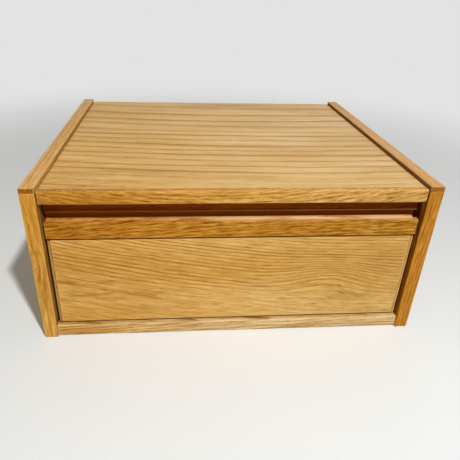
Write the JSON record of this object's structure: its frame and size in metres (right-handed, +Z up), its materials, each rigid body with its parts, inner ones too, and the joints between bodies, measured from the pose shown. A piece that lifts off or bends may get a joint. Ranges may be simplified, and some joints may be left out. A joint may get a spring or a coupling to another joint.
{
  "type": "type case",
  "caption": "Low oak case with a wide drawer on side runners, a finger gap over a solid pull rail, and loose type compartments inside.",
  "frame": {"origin": "middle of the case at floor level", "axes": "+X to the right as seen from the front, -Y out of the drawer front, +Z up"},
  "size_m": [0.3682, 0.3174, 0.1588],
  "materials": {
    "oak_veneer": "golden oak veneer, satin lacquer",
    "oak_solid": "solid golden oak, satin lacquer",
    "stained_oak": "dark red-brown stained oak, thin lacquer",
    "drawer_wood": "pale hardwood, thin lacquer",
    "ply": "thin plywood",
    "steel": "plated steel screws"
  },
  "bodies": {
    "case": {"back_panel": "ply", "back_screw_left_1": "steel", "back_screw_left_2": "steel", "back_screw_left_3": "steel", "back_screw_right_1": "steel", "back_screw_right_2": "steel", "back_screw_right_3": "steel", "bottom_front_lipping": "oak_solid", "bottom_panel": "oak_veneer", "left_runner": "drawer_wood", "left_side_front_lipping": "oak_solid", "left_side_panel": "oak_veneer", "left_side_top_lipping": "oak_solid", "right_runner": "drawer_wood", "right_side_front_lipping": "oak_solid", "right_side_panel": "oak_veneer", "right_side_top_lipping": "oak_solid", "runner_screw_left_1": "steel", "runner_screw_left_2": "steel", "runner_screw_right_1": "steel", "runner_screw_right_2": "steel", "top_front_lipping": "oak_solid", "top_panel": "oak_veneer"},
    "drawer": {"drawer_back": "drawer_wood", "drawer_bottom": "ply", "drawer_facing": "oak_veneer", "drawer_facing_left_lipping": "oak_solid", "drawer_facing_right_lipping": "oak_solid", "drawer_left_side": "drawer_wood", "drawer_right_side": "drawer_wood", "facing_screw_1": "steel", "facing_screw_2": "steel", "facing_screw_3": "steel", "facing_screw_4": "steel", "inner_front": "stained_oak", "left_bay_bar": "drawer_wood", "left_cross_slat_1": "drawer_wood", "left_cross_slat_2": "drawer_wood", "left_cross_slat_3": "drawer_wood", "left_long_slat": "drawer_wood", "middle_cross_slat_1": "drawer_wood", "middle_cross_slat_2": "drawer_wood", "pull_rail": "oak_solid", "right_bay_bar": "drawer_wood", "right_cross_slat_1": "drawer_wood", "right_cross_slat_2": "drawer_wood", "right_cross_slat_3": "drawer_wood", "right_cross_slat_4": "drawer_wood", "right_cross_slat_5": "drawer_wood", "right_long_slat": "drawer_wood"}
  },
  "joints": [
    {"name": "drawer_slide", "type": "slide", "parent": "case", "child": "drawer", "axis": [0, -1, 0], "range_m": [0, 0.22]}
  ]
}
